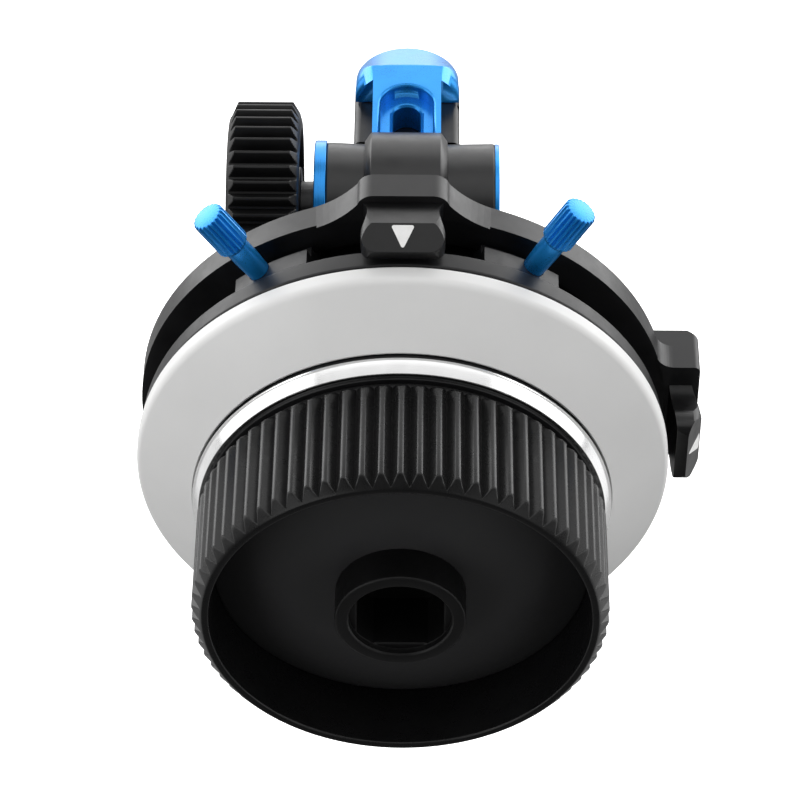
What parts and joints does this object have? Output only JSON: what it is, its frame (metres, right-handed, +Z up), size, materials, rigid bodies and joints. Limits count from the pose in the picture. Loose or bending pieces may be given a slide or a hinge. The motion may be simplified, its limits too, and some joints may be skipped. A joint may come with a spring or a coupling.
{
  "type": "follow focus unit",
  "caption": "Camera focus drive: a fluted hand wheel with a white marking disc turns a toothed drive gear through a right-angle gearbox on a swinging arm and rod clamp.",
  "frame": {"origin": "centre of the 15 mm rod bore", "axes": "+X along the rod, to the right as the operator sees the wheel; +Y away from the operator, along the wheel's axis; +Z up"},
  "size_m": [0.0852, 0.131, 0.0855],
  "materials": {
    "black_anodised": "black anodised, satin",
    "grip_black": "black anodised, fluted grip",
    "gloss_black": "polished black plate",
    "blue_anodised": "blue anodised, fine turned",
    "gear_black": "black moulded gear, satin",
    "bright_trim": "bright polished",
    "marking_white": "off-white, satin, wipe-clean",
    "paint_white": "white filled mark",
    "felt": "black felt",
    "bronze": "plain bearing bronze",
    "black_steel": "black oxide",
    "steel": "turned steel"
  },
  "bodies": {
    "rod_clamp": {"clamp_block": "black_anodised", "slide_grub_screw": "black_steel"},
    "clamp_pad": {"clamp_washer": "steel"},
    "clamp_knob": {"clamp_screw": "steel", "clamp_thumb_knob": "blue_anodised"},
    "swing_arm": {"arm_collar": "black_anodised", "slotted_arm": "blue_anodised", "arm_screws": "black_steel"},
    "gearbox": {"gearbox_housing": "black_anodised", "gear_side_end_ring": "blue_anodised", "far_side_end_ring": "blue_anodised", "far_end_cap": "black_anodised", "gear_side_bush": "bronze", "far_side_bush": "bronze", "rear_flange": "black_anodised", "stop_drum": "black_anodised", "flange_screws": "black_steel", "bearing_outer_races": "steel", "top_pointer": "black_anodised", "top_pointer_mark": "paint_white", "side_pointer": "black_anodised", "side_pointer_mark": "paint_white", "pointer_screws": "black_steel"},
    "handwheel": {"main_shaft": "steel", "wheel_back_plate": "black_anodised", "stop_finger": "steel", "wheel_core": "black_anodised", "disc_clamp_ring": "black_anodised", "chrome_ring": "bright_trim", "drag_felt": "felt", "knob_body": "black_anodised", "face_plate": "gloss_black", "grip_ring": "grip_black", "crank_socket_hub": "black_anodised", "knob_bolt": "black_steel", "wheel_screws": "black_steel", "bearing_inner_races": "steel", "bearing_balls": "steel", "main_bevel_gear": "steel"},
    "marking_disc": {"marking_disc": "marking_white"},
    "drive": {"cross_shaft": "black_steel", "bevel_pinion": "steel", "drive_gear": "gear_black", "gear_washer": "steel", "gear_screw": "black_steel"},
    "stop_a": {"stop_block_a": "black_anodised"},
    "stop_a_shoe": {"stop_shoe_a": "bronze"},
    "stop_a_screw": {"stop_screw_a": "blue_anodised"},
    "stop_b": {"stop_block_b": "black_anodised"},
    "stop_b_shoe": {"stop_shoe_b": "bronze"},
    "stop_b_screw": {"stop_screw_b": "blue_anodised"}
  },
  "joints": [
    {"name": "arm_slide", "type": "slide", "parent": "rod_clamp", "child": "swing_arm", "axis": [0, 1, 0], "range_m": [-0.006, 0]},
    {"name": "gearbox_swing", "type": "hinge", "parent": "swing_arm", "child": "gearbox", "pos_m": [0, -0.0248, 0.01], "axis": [1, 0, 0], "range_deg": [-24, 24]},
    {"name": "handwheel_turn", "type": "hinge", "parent": "gearbox", "child": "handwheel", "pos_m": [0, -0.0815, 0.01], "axis": [0, 1, 0], "range_deg": [-135, 135]},
    {"name": "marking_disc_turn", "type": "hinge", "parent": "handwheel", "child": "marking_disc", "pos_m": [0, -0.0815, 0.01], "axis": [0, 1, 0], "continuous": true},
    {"name": "drive_turn", "type": "hinge", "parent": "gearbox", "child": "drive", "pos_m": [0, -0.0248, 0.01], "axis": [1, 0, 0], "range_deg": [-136, 136]},
    {"name": "clamp_pad_travel", "type": "slide", "parent": "rod_clamp", "child": "clamp_pad", "axis": [0, 1, 0], "range_m": [0, 0.0016]},
    {"name": "clamp_knob_turn", "type": "hinge", "parent": "clamp_pad", "child": "clamp_knob", "pos_m": [0, 0.0083, -0.0135], "axis": [0, 1, 0], "range_deg": [0, 722]},
    {"name": "stop_a_place", "type": "hinge", "parent": "gearbox", "child": "stop_a", "pos_m": [0, -0.072, 0.01], "axis": [0, 1, 0], "range_deg": [-130, 20]},
    {"name": "stop_a_shoe_travel", "type": "slide", "parent": "stop_a", "child": "stop_a_shoe", "axis": [-0.5519, 0, 0.8339], "range_m": [0, 0.00105]},
    {"name": "stop_a_screw_turn", "type": "hinge", "parent": "stop_a_shoe", "child": "stop_a_screw", "pos_m": [-0.02208, -0.072, 0.04335], "axis": [-0.5519, 0, 0.8339], "range_deg": [0, 542]},
    {"name": "stop_b_place", "type": "hinge", "parent": "gearbox", "child": "stop_b", "pos_m": [0, -0.072, 0.01], "axis": [0, 1, 0], "range_deg": [-16, 48]},
    {"name": "stop_b_shoe_travel", "type": "slide", "parent": "stop_b", "child": "stop_b_shoe", "axis": [0.5, 0, 0.866], "range_m": [0, 0.00105]},
    {"name": "stop_b_screw_turn", "type": "hinge", "parent": "stop_b_shoe", "child": "stop_b_screw", "pos_m": [0.02, -0.072, 0.04464], "axis": [0.5, 0, 0.866], "range_deg": [0, 542]}
  ],
  "couplings": [
    {"joint": "drive_turn", "follows": "handwheel_turn", "ratio": -1},
    {"joint": "clamp_knob_turn", "follows": "clamp_pad_travel", "rad_per_m": 7854},
    {"joint": "stop_a_screw_turn", "follows": "stop_a_shoe_travel", "rad_per_m": 8976},
    {"joint": "stop_b_screw_turn", "follows": "stop_b_shoe_travel", "rad_per_m": 8976}
  ]
}
